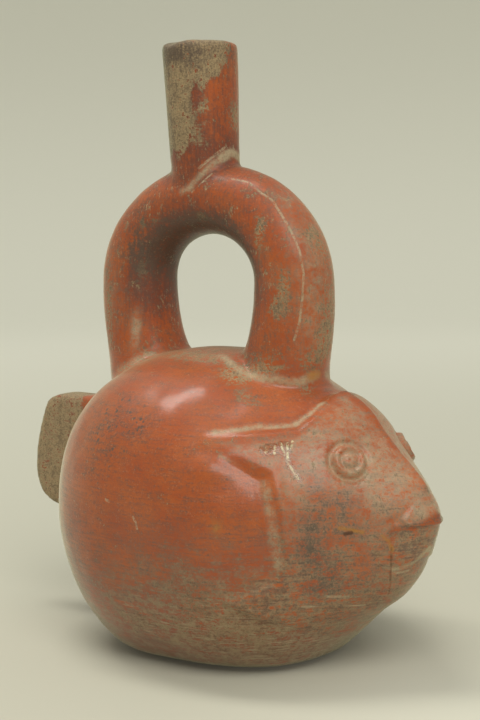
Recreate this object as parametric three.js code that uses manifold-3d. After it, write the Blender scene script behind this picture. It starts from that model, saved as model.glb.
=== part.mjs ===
// Stirrup spout vessel: one hollow piece of fired clay. A round fish-like body with a
// pointed snout, ring eyes, raised gill edges and a flat tail slab carries a hollow
// stirrup tube, and a single spout stands on the crown of the tube.
// Millimetres. +Z is up, +X runs from the tail to the snout, and the origin is on the
// flat base, under the widest section of the body.

import * as THREE from 'three';
import { mergeVertices } from 'three/addons/utils/BufferGeometryUtils.js';
import Module from 'manifold-3d';

const wasm = await Module();
wasm.setup();

// Body
const rearLength = 52;          // origin to the back of the body
const snoutReach = 82.8;        // origin to the tip of the snout, under its raised beak
const halfWidth = 51;
const topHeight = 97;
const midHeight = 46.6;         // height of the widest part of the body
const snoutHeight = 50.8;
const bellyDepth = 10;          // how far the round belly would reach below the cut base
const bodyWall = 5;
const snoutWall = 11;           // clay left solid behind the snout's tip

// Carving
const headRelief = 1.3;         // step of the head and its gill point above the flank
const faintRelief = 0.2;        // what is left of a step where it dies out on the belly
const lipRelief = 0.5;           // lower lip above the head
const beakRelief = 1;            // beak above the head
const eyeRadius = 5.8;
const eyeRise = 1.5;
const eyeRimWidth = 2.2;
const pupilRadius = 1.7;
const eyeSink = 3;              // how far an eye's disc is rooted in the head

// Tail slab
const tailReach = 79.3;           // origin to the back edge of the tail
const tailTop = 78;
const tailBottom = 36.7;
const tailThickness = 11;
const tailEdgeRound = 2;

// Stirrup tube
const footSpread = 25.9;        // half the distance between the feet's centres
const footDepth = 12;           // how far below the body's top that is
const stirrupSpread = 32.1;     // half the greatest distance between the tube's centres
const stirrupShift = 0.9;       // middle of the stirrup, ahead of the origin
const spreadHeight = 118.4;
const crownHeight = 145;
const footRadius = 13;
const legRadius = 12.6;
const crownRadius = 11.4;
const footFlare = 1.6;          // smear of clay that thickens each foot where it joins
const flareHeight = 5;
const rootDepth = 26;           // how far the legs are rooted below the body's top
const tubeWall = 4;

// Spout
const spoutShift = -1.3;        // centre of the spout's root, ahead of the origin
const spoutLean = 0.05;         // backward slope of the spout
const spoutHeight = 50.1;       // crown centre line to the rim
const spoutRootRadius = 10.8;
const spoutRimRadius = 12.3;
const spoutWall = 3.8;
const lipRound = 1.6;

// Fineness of the facets
const bodyRings = 40;
const bodySides = 44;
const hollowRings = 20;
const hollowSides = 24;
const tubeRings = 28;
const tubeSides = 24;
const passageRings = 20;
const passageSides = 14;
const spoutSides = 28;
const eyeSides = 28;
const lipSteps = 4;

const spare = 8;                // overlap that lets a cut or a joint run past a face
const weldDistance = 1e-4;      // corners closer than this are one corner
const smallStep = 0.5;          // distance over which a direction is measured

const legShare = 0.22;          // share of the stirrup's rings that each leg takes

const rearRoundness = 1.96;     // exponent of the back's rounded outline

// Free outlines of the front half: share of the reach, share of the height or width
const crownLine = [[0, 1], [0.193, 0.99], [0.386, 0.85], [0.531, 0.77], [0.64, 0.71],
  [0.72, 0.617], [0.775, 0.496], [0.843, 0.364], [0.959, 0.147], [1, 0]];
const bellyLine = [[0, 0], [0.24, 0.04], [0.459, 0.12], [0.604, 0.27], [0.749, 0.464],
  [0.894, 0.655], [0.972, 0.88], [1, 0.985]];
const widthLine = [[0, 1], [0.193, 1.005], [0.362, 0.97], [0.531, 0.832], [0.7, 0.561],
  [0.845, 0.316], [0.966, 0.1], [1, 0.01]];
const roundnessLine = [[0, 2.35], [0.12, 2.35], [0.4, 2], [0.65, 1.6], [1, 1.6]];
const bellyRoundness = 2.12;

// Outlines of the carving, seen from the side: share of the reach, share of the height
// above the body's middle line, or below it if negative
const gillOutline = [[0.585, 1.2], [0.6, 0.71], [0.606, 0.63], [0.588, 0.56], [0.508, 0.557],
  [0.345, 0.553], [0.35, 0.515], [0.495, 0.396], [0.568, 0.32], [0.614, 0.11],
  [0.625, -0.08], [0.622, -0.262], [0.605, -0.33], [0.552, -0.375], [0.46, -0.435],
  [0.61, -0.65], [0.73, -0.95], [0.75, -1.4], [1.2, -1.4], [1.2, 1.2]];
const beakOutline = [[0.966, 0.13], [0.923, 0], [0.94, -0.036], [1.2, -0.054], [1.2, 0.13]];
const lipOutline = [[0.908, -0.013], [0.9, -0.1], [0.893, -0.3], [0.93, -0.272], [0.975, -0.225],
  [1.2, -0.2], [1.2, -0.026]];
const eyePlace = [0.761, 0.353];
const reliefFade = [-0.7, -0.45];   // heights between which a step comes up to its full rise

// Outline of the tail: share of its overhang from the back edge, share of its height down
const tailCurve = [[0.48, 0.01], [0.26, 0.03], [0.2, 0.15], [0, 0.42], [0, 0.66], [0.02, 0.93],
  [0.4, 1]];
const tailDroop = 0.08;         // how much lower the tail's root is, as a share of its height

// Profile of an eye, as shares of its rise
const dishShare = 0.35;
const shoulderShare = 0.6;
const beadShare = 0.9;

// Smooth curve through points, with no overshoot between them
function smoothCurve(points) {
  const slopes = points.slice(1).map(([x, y], i) => (y - points[i][1]) / (x - points[i][0]));
  const tangents = points.map((_, i) => {
    const before = slopes[Math.max(i - 1, 0)];
    const after = slopes[Math.min(i, slopes.length - 1)];
    return before * after > 0 ? 2 * before * after / (before + after) : 0;
  });
  return (x) => {
    const found = points.findIndex(([px]) => px > x);
    const i = found < 0 ? slopes.length - 1 : Math.max(found - 1, 0);
    const [x0, y0] = points[i];
    const [x1, y1] = points[i + 1];
    const span = x1 - x0;
    const t = THREE.MathUtils.clamp((x - x0) / span, 0, 1);
    const bend = tangents[i] * (1 - t) - tangents[i + 1] * t;
    return y0 + (y1 - y0) * t * t * (3 - 2 * t) + span * t * (1 - t) * bend;
  };
}

const crown = smoothCurve(crownLine);
const belly = smoothCurve(bellyLine);
const width = smoothCurve(widthLine);
const roundness = smoothCurve(roundnessLine);

// Height of the body's middle line, which climbs to the tip of the snout
function middleLine(along) {
  return midHeight + (snoutHeight - midHeight) * THREE.MathUtils.clamp(along, 0, 1) ** 2;
}

// The body's form, or the hollow in it when a wall is taken off
function bodyForm(wall, tipWall) {
  const back = rearLength - wall;
  const reach = snoutReach - tipWall;
  const half = halfWidth - wall;
  const top = topHeight - wall;
  const bottom = wall - bellyDepth;

  function section(x) {
    const along = THREE.MathUtils.clamp(x / reach, 0, 1);
    const rear = THREE.MathUtils.clamp(-x / back, 0, 1);
    const swell = (1 - rear ** rearRoundness) ** (1 / rearRoundness);
    const middle = middleLine(along);
    const upper = snoutHeight + (top - snoutHeight) * crown(along);
    const lower = bottom + (snoutHeight - bottom) * belly(along);
    return {
      middle,
      half: half * width(along) * swell,
      up: Math.max(upper - middle, 0) * swell,
      down: Math.max(middle - lower, 0) * swell,
      upPower: roundness(along),
    };
  }

  // Point of the surface: share of the length from -1 to 1, and a direction around it
  function point(share, sideways, upwards) {
    const x = (reach - back) / 2 + share * (reach + back) / 2;
    const s = section(x);
    const power = upwards >= 0 ? s.upPower : bellyRoundness;
    const rise = upwards >= 0 ? s.up : s.down;
    const y = Math.sign(sideways) * Math.abs(sideways) ** (2 / power) * s.half;
    const z = s.middle + Math.sign(upwards) * Math.abs(upwards) ** (2 / power) * rise;
    return new THREE.Vector3(x, y, z);
  }

  // Point of the upper flank at a place seen from the side; side is 1 or -1
  function flank(x, z, side) {
    const s = section(x);
    const share = THREE.MathUtils.clamp((z - s.middle) / s.up, 0, 1);
    return new THREE.Vector3(x, side * s.half * (1 - share ** s.upPower) ** (1 / s.upPower), z);
  }

  return { section, point, flank };
}

const outerForm = bodyForm(0, 0);
const hollowForm = bodyForm(bodyWall, snoutWall);

// A place in the side view, from shares of the reach and of the height
function sidePlace([along, up]) {
  const span = up >= 0 ? topHeight - midHeight : midHeight;
  return new THREE.Vector2(along * snoutReach, middleLine(along) + up * span);
}

// The same surface with shared corners and no empty faces
function welded(geometry) {
  const bare = geometry.clone();
  bare.deleteAttribute('normal');
  bare.deleteAttribute('uv');
  const merged = mergeVertices(bare, weldDistance);
  const corners = merged.index.array;
  const faces = [];
  for (let i = 0; i < corners.length; i += 3) {
    const [a, b, c] = corners.slice(i, i + 3);
    if (a !== b && b !== c && c !== a) faces.push(a, b, c);
  }
  merged.setIndex(faces);
  return merged;
}

function toSolid(geometry) {
  const mesh = welded(geometry);
  return new wasm.Manifold(new wasm.Mesh({
    numProp: 3,
    vertProperties: new Float32Array(mesh.attributes.position.array),
    triVerts: new Uint32Array(mesh.index.array),
  }));
}

function toGeometry(solid) {
  const mesh = solid.getMesh();
  const geometry = new THREE.BufferGeometry();
  geometry.setAttribute('position', new THREE.BufferAttribute(mesh.vertProperties.slice(), 3));
  geometry.setIndex(new THREE.BufferAttribute(mesh.triVerts.slice(), 1));
  const faceted = geometry.toNonIndexed();
  faceted.computeVertexNormals();
  return faceted;
}

function moveVertices(geometry, place) {
  const position = geometry.attributes.position;
  for (let i = 0; i < position.count; i += 1) {
    const from = new THREE.Vector3().fromBufferAttribute(position, i);
    const to = place(from);
    position.setXYZ(i, to.x, to.y, to.z);
  }
  return geometry;
}

// A sphere with its poles at the tail and the snout, shaped to a body form
function shapedBody(form, sides, rings) {
  const ball = new THREE.SphereGeometry(1, sides, rings);
  ball.rotateZ(Math.PI / 2);
  return moveVertices(ball, (p) => {
    const girth = Math.hypot(p.y, p.z);
    const pole = girth < weldDistance;
    return form.point(p.x, pole ? 0 : p.y / girth, pole ? 0 : p.z / girth);
  });
}

// The body swollen by a relief, kept only inside an outline seen from the side
function raisedPlate(outline, relief) {
  const skin = welded(shapedBody(outerForm, bodySides, bodyRings));
  skin.computeVertexNormals();
  const { position, normal } = skin.attributes;
  const [faint, full] = reliefFade.map((up) => sidePlace([0, up]).y);
  for (let i = 0; i < position.count; i += 1) {
    const at = new THREE.Vector3().fromBufferAttribute(position, i);
    const out = new THREE.Vector3().fromBufferAttribute(normal, i);
    const share = THREE.MathUtils.smoothstep(at.z, faint, full);
    at.addScaledVector(out, faintRelief + (relief - faintRelief) * share);
    position.setXYZ(i, at.x, at.y, at.z);
  }
  const depth = 2 * (halfWidth + spare);
  const shape = new THREE.Shape(outline.map(sidePlace));
  const stamp = new THREE.ExtrudeGeometry(shape, { depth, bevelEnabled: false });
  stamp.rotateX(Math.PI / 2);
  stamp.translate(0, depth / 2, 0);
  return toSolid(skin).intersect(toSolid(stamp));
}

// An eye: a disc with a raised rim and a pupil, on the surface of the head
function eye(side) {
  const dish = eyeRise * dishShare;
  const bead = eyeRise * beadShare;
  const inner = eyeRadius - eyeRimWidth;
  const profile = [[0, -eyeSink], [eyeRadius, -eyeSink], [eyeRadius, eyeRise * shoulderShare],
    [eyeRadius - eyeRimWidth * 0.3, eyeRise], [inner + eyeRimWidth * 0.3, bead],
    [inner, dish], [pupilRadius, dish], [pupilRadius * 0.6, bead], [0, eyeRise]];
  const points = profile.map(([r, h]) => new THREE.Vector2(r, h));
  const disc = new THREE.LatheGeometry(points, eyeSides);
  const place = sidePlace(eyePlace);
  const at = outerForm.flank(place.x, place.y, side);
  const ahead = outerForm.flank(place.x + smallStep, place.y, side).sub(at);
  const above = outerForm.flank(place.x, place.y + smallStep, side).sub(at);
  const out = new THREE.Vector3().crossVectors(ahead, above).normalize();
  if (out.y * side < 0) out.negate();
  const turn = new THREE.Quaternion().setFromUnitVectors(new THREE.Vector3(0, 1, 0), out);
  disc.applyQuaternion(turn);
  const seat = at.addScaledVector(out, headRelief / 2);
  disc.translate(seat.x, seat.y, seat.z);
  return toSolid(disc);
}

// Centre line of the stirrup: two bowed legs and half an ellipse over them
class StirrupCurve extends THREE.Curve {
  getPoint(t) {
    const side = t < 0.5 ? -1 : 1;
    const fromRoot = Math.min(t, 1 - t) / legShare;
    if (fromRoot < 1) {
      const root = topHeight - rootDepth;
      const foot = topHeight - footDepth;
      const z = root + (spreadHeight - root) * fromRoot;
      const bow = 1 - ((spreadHeight - z) / (spreadHeight - foot)) ** 2;
      const x = footSpread + (stirrupSpread - footSpread) * bow;
      return new THREE.Vector3(stirrupShift + side * x, 0, z);
    }
    const turn = Math.PI * (t - legShare) / (1 - 2 * legShare);
    const x = -stirrupSpread * Math.cos(turn);
    const z = spreadHeight + (crownHeight - spreadHeight) * Math.sin(turn);
    return new THREE.Vector3(stirrupShift + x, 0, z);
  }
}

// Tube radius at a height: foot, leg and crown, with a flare where a foot meets the body
function tubeRadius(place) {
  const foot = topHeight - footDepth;
  const rise = THREE.MathUtils.clamp((place.z - foot) / (crownHeight - foot), 0, 1);
  const straight = footRadius + (crownRadius - footRadius) * rise;
  const swell = (legRadius - (footRadius + crownRadius) / 2) * 4 * rise * (1 - rise);
  const s = outerForm.section(place.x);
  const above = Math.max(place.z - (s.middle + s.up), 0);
  return straight + swell + footFlare * Math.exp(-above / flareHeight);
}

// A cylinder bent along the stirrup, with a wall taken off for the passage in it
function stirrupTube(wall, rings, sides) {
  const curve = new StirrupCurve();
  const step = smallStep / curve.getLength();
  const rod = new THREE.CylinderGeometry(1, 1, 1, sides, rings);
  moveVertices(rod, (p) => {
    const t = p.y + 0.5;
    const centre = curve.getPoint(t);
    const before = curve.getPoint(Math.max(t - step, 0));
    const after = curve.getPoint(Math.min(t + step, 1));
    const along = after.sub(before).normalize();
    const out = new THREE.Vector3(-along.z, 0, along.x);
    const radius = tubeRadius(centre) - wall;
    centre.addScaledVector(out, p.x * radius);
    centre.y += p.z * radius;
    return centre;
  });
  return toSolid(rod);
}

// Spout axis: up from the crown, leaning back
function placeSpout(geometry) {
  return moveVertices(geometry, (p) => {
    const rise = THREE.MathUtils.clamp(p.y, 0, spoutHeight + spare);
    return new THREE.Vector3(spoutShift - spoutLean * rise + p.x, -p.z, crownHeight + p.y);
  });
}

function spoutOuter() {
  const lip = [];
  for (let i = 0; i <= lipSteps; i += 1) {
    const turn = (i / lipSteps) * Math.PI;
    const out = spoutRimRadius - lipRound * (1 - Math.cos(turn));
    lip.push([out, spoutHeight - lipRound + lipRound * Math.sin(turn)]);
  }
  const profile = [[0, 0], [spoutRootRadius, 0], ...lip, [0, spoutHeight - lipRound]];
  const points = profile.map(([r, h]) => new THREE.Vector2(r, h));
  return toSolid(placeSpout(new THREE.LatheGeometry(points, spoutSides)));
}

function spoutBore() {
  const mouth = spoutRimRadius - spoutWall;
  const root = spoutRootRadius - spoutWall;
  const profile = [[0, 0], [root, 0], [mouth, spoutHeight], [mouth, spoutHeight + spare],
    [0, spoutHeight + spare]];
  const points = profile.map(([r, h]) => new THREE.Vector2(r, h));
  return toSolid(placeSpout(new THREE.LatheGeometry(points, spoutSides)));
}

// The tail: a slab in the middle plane, rooted in the back of the body
function tail() {
  const tall = tailTop - tailBottom;
  const overhang = tailReach - rearLength;
  const root = -rearLength + spare;
  const points = tailCurve.map(([back, down]) => (
    new THREE.Vector2(-tailReach + overhang * back, tailTop - tall * down)));
  const [start, bend, shoulder, swell, back, heel, end] = points;
  const shape = new THREE.Shape();
  shape.moveTo(root, tailTop);
  shape.lineTo(start.x, start.y);
  shape.quadraticCurveTo(bend.x, bend.y, shoulder.x, shoulder.y);
  shape.quadraticCurveTo(swell.x, swell.y, back.x, back.y);
  shape.quadraticCurveTo(heel.x, heel.y, end.x, end.y);
  shape.lineTo(root, tailBottom - tall * tailDroop);
  const slab = new THREE.ExtrudeGeometry(shape, {
    depth: tailThickness - 2 * tailEdgeRound,
    curveSegments: 6,
    bevelThickness: tailEdgeRound,
    bevelSize: tailEdgeRound,
    bevelOffset: -tailEdgeRound,
    bevelSegments: 2,
  });
  slab.rotateX(Math.PI / 2);
  slab.translate(0, tailThickness / 2 - tailEdgeRound, 0);
  return toSolid(slab);
}

// Everything below a height, as a cutter
function below(height) {
  const length = 2 * (rearLength + snoutReach + tailReach);
  const box = new THREE.BoxGeometry(length, length, length);
  box.translate(0, 0, height - length / 2);
  return toSolid(box);
}

function buildVessel() {
  const carved = [
    raisedPlate(gillOutline, headRelief),
    raisedPlate(lipOutline, headRelief + lipRelief),
    raisedPlate(beakOutline, headRelief + beakRelief),
    eye(-1),
    eye(1),
    stirrupTube(0, tubeRings, tubeSides),
    spoutOuter(),
    tail(),
  ];
  let clay = toSolid(shapedBody(outerForm, bodySides, bodyRings));
  for (const piece of carved) clay = clay.add(piece);
  const chamber = toSolid(shapedBody(hollowForm, hollowSides, hollowRings))
    .subtract(below(bodyWall));
  const passages = stirrupTube(tubeWall, passageRings, passageSides).add(spoutBore());
  return clay.subtract(below(0)).subtract(chamber).subtract(passages);
}

const slip = new THREE.MeshStandardMaterial({ color: 0xa8512f, roughness: 0.5, metalness: 0 });
const vessel = new THREE.Mesh(toGeometry(buildVessel()), slip);
vessel.name = 'vessel';

const group = new THREE.Group();
group.add(vessel);

export default group;
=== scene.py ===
import math

import bpy
import numpy as np
from mathutils import Matrix, Vector, noise


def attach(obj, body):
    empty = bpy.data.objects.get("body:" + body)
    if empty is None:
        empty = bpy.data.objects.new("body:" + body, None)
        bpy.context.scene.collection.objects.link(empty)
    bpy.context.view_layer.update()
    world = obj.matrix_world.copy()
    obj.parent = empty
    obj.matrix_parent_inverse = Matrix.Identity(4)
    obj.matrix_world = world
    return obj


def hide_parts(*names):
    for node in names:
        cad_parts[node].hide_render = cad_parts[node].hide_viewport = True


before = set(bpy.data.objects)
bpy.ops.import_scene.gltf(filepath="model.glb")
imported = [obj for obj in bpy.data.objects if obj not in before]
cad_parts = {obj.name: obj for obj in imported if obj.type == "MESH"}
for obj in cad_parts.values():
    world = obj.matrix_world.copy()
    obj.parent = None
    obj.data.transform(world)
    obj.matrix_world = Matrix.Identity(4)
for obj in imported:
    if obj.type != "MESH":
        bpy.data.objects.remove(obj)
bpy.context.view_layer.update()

# Sizes are in millimetres and angles in degrees. +X runs from the tail to the snout.
MM = 0.001

# Camera and lights
CAMERA_AZIMUTH = 39.07
CAMERA_DISTANCE = 472.8
CAMERA_HEIGHT = 139.6
AIM_SIDE = 8.76
AIM_HEIGHT = 92.55
CAMERA_ROLL = -0.745
CAMERA_LENS = 72.74
CAMERA_SENSOR = 36
LIGHT_TURN = 20

# Body
REAR_LENGTH = 52
SNOUT_REACH = 82.8
HALF_WIDTH = 51
TOP_HEIGHT = 97
MID_HEIGHT = 46.6
SNOUT_HEIGHT = 50.8
BELLY_DEPTH = 10
BODY_WALL = 5
SNOUT_WALL = 11
REAR_ROUNDNESS = 1.96
BELLY_ROUNDNESS = 2.12
CROWN_LINE = [(0, 1), (0.193, 0.99), (0.386, 0.85), (0.531, 0.77), (0.64, 0.71),
              (0.72, 0.617), (0.775, 0.496), (0.843, 0.364), (0.959, 0.147), (1, 0)]
BELLY_LINE = [(0, 0), (0.24, 0.04), (0.459, 0.12), (0.604, 0.27), (0.749, 0.464),
              (0.894, 0.655), (0.972, 0.88), (1, 0.985)]
WIDTH_LINE = [(0, 1), (0.193, 1.005), (0.362, 0.97), (0.531, 0.832), (0.7, 0.561),
              (0.845, 0.316), (0.966, 0.1), (1, 0.01)]
ROUNDNESS_LINE = [(0, 2.35), (0.12, 2.35), (0.4, 2), (0.65, 1.6), (1, 1.6)]

# Stirrup tube
FOOT_SPREAD = 25.9
FOOT_DEPTH = 12
ROOT_DEPTH = 26
STIRRUP_SPREAD = 32.1
STIRRUP_SHIFT = 0.9
SPREAD_HEIGHT = 118.4
CROWN_HEIGHT = 145
FOOT_RADIUS = 13
LEG_RADIUS = 12.6
CROWN_RADIUS = 11.4
FOOT_FLARE = 1.6
FLARE_HEIGHT = 5
TUBE_WALL = 4

# Spout
SPOUT_SHIFT = -1.3
SPOUT_LEAN = 0.05
SPOUT_HEIGHT = 50.1
SPOUT_ROOT_RADIUS = 10.8
SPOUT_RIM_RADIUS = 12.3
SPOUT_WALL = 3.8
LIP_ROUND = 1.6

# Tail slab
TAIL_REACH = 79.3
TAIL_TOP = 78
TAIL_BOTTOM = 36.7
TAIL_THICKNESS = 11
TAIL_SLOPE = 0.08
TAIL_VOXEL = 0.9
TAIL_EDGE = [(0, 66), (0.012, 69.5), (0.06, 72.4), (0.15, 74.3), (0.32, 77), (0.5, 78.8),
             (0.68, 79.3), (0.8, 78.2), (0.9, 75.2), (0.97, 70.5), (1, 65)]

# Base, mesh size, how far round the carving the mesh is finer, and spare length of what is cut
BASE_TUCK = 4.5
BASE_ROUND = 4.2
VOXEL = 1.17
CARVING_MARGIN = 4
CARVED_BAND = (12, 92)
SPARE = 8

# Carving
HEAD_RELIEF = 1.3
FAINT_RELIEF = 0.2
LIP_RELIEF = 0.5
BEAK_RELIEF = 1.0
EYE_RADIUS = 4.9
EYE_RISE = 1.3
EYE_RING = 2.7
PUPIL_RADIUS = 1.3
GILL_OUTLINE = [(0.585, 1.2), (0.6, 0.71), (0.606, 0.63), (0.588, 0.56), (0.508, 0.557),
                (0.345, 0.553), (0.35, 0.515), (0.495, 0.396), (0.568, 0.32), (0.614, 0.11),
                (0.625, -0.08), (0.622, -0.262), (0.605, -0.33), (0.552, -0.375),
                (0.46, -0.435), (0.61, -0.65), (0.73, -0.95), (0.75, -1.4), (1.2, -1.4),
                (1.2, 1.2)]
BEAK_OUTLINE = [(0.966, 0.13), (0.923, 0), (0.94, -0.036), (1.2, -0.054), (1.2, 0.13)]
LIP_OUTLINE = [(0.908, -0.013), (0.9, -0.1), (0.893, -0.3), (0.93, -0.272), (0.975, -0.225),
               (1.2, -0.2), (1.2, -0.026)]
EYE_PLACE = (0.756, 0.355)
RELIEF_FADE = (-0.7, -0.45)

# Lines drawn in the near side of the head, as places in space
BEAK_EDGE = [(76, -11.9, 47), (78.3, -9.7, 47.8), (80.7, -6.8, 48.5), (83.3, -4, 49.6),
             (84.4, 0, 50.4)]
MOUTH = [(81.5, 0, 40.6), (80.9, -2, 39.6), (78.3, -4.7, 37.1), (74.7, -9.9, 35.5)]
CRACK = [(75.4, -11.6, 42.5), (75, -11.2, 38), (73.6, -9.3, 32.2), (71.4, -7, 27.3),
         (64.9, -1.7, 19.8)]
BEAK_CREASE = [(81.2, -4.3, 56.2), (79.4, -7.6, 53.9), (77.6, -10.2, 50.6), (76.3, -11.3, 47.3)]
CREST = [(50.5, 0, 85.6), (55, 0, 83.3), (58.7, 0, 81), (62.7, 0, 77.2), (66.7, 0, 72.3),
         (71.1, 0, 67.2), (76.5, 0, 61.5), (79, 0, 58.6)]
PIT = (66.7, -21.2, 47.4)
PIT_SLIT = [(66, -21.9, 47.2), (67.3, -20.5, 47.5)]
GILL_TRENCH_TOP = [(49.7, -9.3, 82.9), (49, -12.5, 81), (48.5, -15.9, 79.3),
                   (47.1, -20.7, 77.1), (43.3, -24.6, 76.9), (39.5, -28.3, 77.1),
                   (35.2, -33.4, 76.5), (30.5, -37.5, 76)]
GILL_TRENCH_SIDE = [(47.1, -35.3, 61.6), (48.5, -35.8, 58), (49.7, -36, 54.1),
                    (50.6, -36.3, 49.8), (51.1, -36.1, 45.1), (51.8, -35.2, 38.3)]
SPIKE_UNDERSIDE = [(35, -40.8, 70), (43.5, -37.6, 66), (47, -36.6, 62.5)]
GILL_DIAGONAL = [(49.9, -35.7, 32.8), (45.6, -39.2, 30.5), (40.3, -42.4, 28.3)]
SCRATCHES = [[(77.2, -5, 34.6), (74.4, -9.5, 34.2)],
             [(55, -27.9, 25.3), (61, -21, 24.3), (65.9, -11.5, 23.7)],
             [(60, -23.3, 28.1), (64.3, -17.6, 27.5)],
             [(9.8, -51.1, 50.6), (10.9, -51.2, 49.1), (11.4, -51.2, 47.4)],
             [(-1.6, -50.7, 54.6), (-0.2, -50.8, 54.2)]]
NEAR_FOOT_LINE = [(14, -13, 96), (19.9, -16, 94), (26.4, -16.4, 90.7), (34.1, -13.5, 89.6),
                  (40.5, -8.2, 88.5), (42.7, -2.9, 90.3)]
FAR_FOOT_LINE = [(-30, -15.5, 89), (-25.4, -16, 90.5), (-18.9, -12.9, 94.5), (-12, -7, 96.5)]
SPOUT_SEAM = [(-3, -10.6, 147), (0.3, -10.9, 148.2), (6.1, -7.9, 155), (8.3, -4, 158),
              (9.2, 0, 159.5), (8.3, 4, 158)]
UPPER_SEAM = [(3.4, -9.8, 154.6), (6.8, -7.3, 158), (9, -2.5, 161.6)]
LOWER_SEAM = [(1.5, -10.9, 147), (5.2, -9.6, 150.4), (7, -8, 152.6)]
LEG_SCRATCH = [(15.2, -7.9, 151), (20.9, -7, 149.7), (26.3, -7.6, 146.2), (29.7, -7.1, 144.3),
               (34.4, -7.8, 139.1), (37.8, -7.9, 134.2), (40.6, -7.8, 128.7),
               (42.2, -8, 121.8), (42.1, -8.5, 114.9), (41.3, -9.1, 107), (39.9, -9.9, 101.8)]
# Painted highlights: pale glints drawn as short strokes on the old varnish.
PAINTED_GLINTS = [[(45, -31.3, 72), (45.4, -32.2, 70.7)],
          [(46.7, -29.4, 72.2), (47.3, -30.6, 70.3)],
          [(47.6, -27.8, 72.9), (49.5, -28.7, 70)],
          [(49, -26.4, 72.9), (50.5, -28.5, 69.1), (51.5, -29.1, 67.1),
           (53.1, -29, 65.1), (54.5, -28.8, 63.3)],
          [(49.9, -25.1, 73.4), (50.4, -26.4, 71.5)]]
RIM_CHIP = (-6.4, -11.6, 194.5)


def smoothstep(low, high, value):
    share = np.clip((value - low) / (high - low), 0, 1)
    return share * share * (3 - 2 * share)


def smooth_curve(points):
    """A curve through points that never overshoots between them."""
    xs, ys = np.array(points, float).T
    slopes = np.diff(ys) / np.diff(xs)
    before = np.concatenate([slopes[:1], slopes])
    after = np.concatenate([slopes, slopes[-1:]])
    both = before * after
    safe = np.where(both > 0, before + after, 1)
    tangents = np.where(both > 0, 2 * both / safe, 0)

    def at(x):
        x = np.clip(x, xs[0], xs[-1])
        i = np.clip(np.searchsorted(xs, x, side="right") - 1, 0, len(slopes) - 1)
        span = xs[i + 1] - xs[i]
        t = (x - xs[i]) / span
        bend = tangents[i] * (1 - t) - tangents[i + 1] * t
        return ys[i] + (ys[i + 1] - ys[i]) * t * t * (3 - 2 * t) + span * t * (1 - t) * bend

    return at


crown = smooth_curve(CROWN_LINE)
belly = smooth_curve(BELLY_LINE)
width = smooth_curve(WIDTH_LINE)
roundness = smooth_curve(ROUNDNESS_LINE)
tail_rim = smooth_curve(TAIL_EDGE)


def middle_line(along):
    return MID_HEIGHT + (SNOUT_HEIGHT - MID_HEIGHT) * np.clip(along, 0, 1) ** 2


def body_section(x, wall=0, tip_wall=0):
    """Middle height, half width, rise, depth and roundness of the body's section at x."""
    back = REAR_LENGTH - wall
    reach = SNOUT_REACH - tip_wall
    bottom = wall - BELLY_DEPTH
    along = np.clip(x / reach, 0, 1)
    rear = np.clip(-x / back, 0, 1)
    swell = (1 - rear ** REAR_ROUNDNESS) ** (1 / REAR_ROUNDNESS)
    middle = middle_line(along)
    upper = SNOUT_HEIGHT + (TOP_HEIGHT - wall - SNOUT_HEIGHT) * crown(along)
    lower = bottom + (SNOUT_HEIGHT - bottom) * belly(along)
    half = (HALF_WIDTH - wall) * width(along) * swell
    rise = np.maximum(upper - middle, 0) * swell
    depth = np.maximum(middle - lower, 0) * swell
    return middle, half, rise, depth, roundness(along)


def side_place(place):
    """A place seen from the side, from shares of the reach and of the height."""
    along, up = place
    span = TOP_HEIGHT - MID_HEIGHT if up >= 0 else MID_HEIGHT
    return along * SNOUT_REACH, float(middle_line(along)) + up * span


def flank(x, z, side):
    """Point of the upper flank at a place seen from the side."""
    middle, half, rise, _, power = (float(v) for v in body_section(np.float64(x)))
    share = min(max((z - middle) / rise, 0), 1)
    return np.array([x, side * half * (1 - share ** power) ** (1 / power), z])


def only(piece):
    bpy.ops.object.select_all(action="DESELECT")
    piece.select_set(True)
    bpy.context.view_layer.objects.active = piece
    return piece


def corners(piece):
    """The piece's corners in millimetres."""
    flat = np.empty(len(piece.data.vertices) * 3)
    piece.data.vertices.foreach_get("co", flat)
    return flat.reshape(-1, 3) / MM


def outward(piece):
    flat = np.empty(len(piece.data.vertices) * 3)
    piece.data.vertex_normals.foreach_get("vector", flat)
    return flat.reshape(-1, 3)


def put_corners(piece, places):
    piece.data.vertices.foreach_set("co", (places * MM).ravel())
    piece.data.update()


def settle(piece):
    """Puts the piece's place, turn and scale into its mesh."""
    only(piece)
    bpy.ops.object.transform_apply(location=True, rotation=True, scale=True)
    return piece


def apply_modifier(piece, kind, **values):
    only(piece)
    modifier = piece.modifiers.new(kind.title(), kind)
    for name, value in values.items():
        setattr(modifier, name, value)
    bpy.ops.object.modifier_apply(modifier=modifier.name)
    return piece


def join_pieces(name, pieces):
    bpy.ops.object.select_all(action="DESELECT")
    for piece in pieces:
        piece.select_set(True)
    bpy.context.view_layer.objects.active = pieces[0]
    bpy.ops.object.join()
    pieces[0].name = name
    pieces[0].data.name = name
    return pieces[0]


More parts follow.
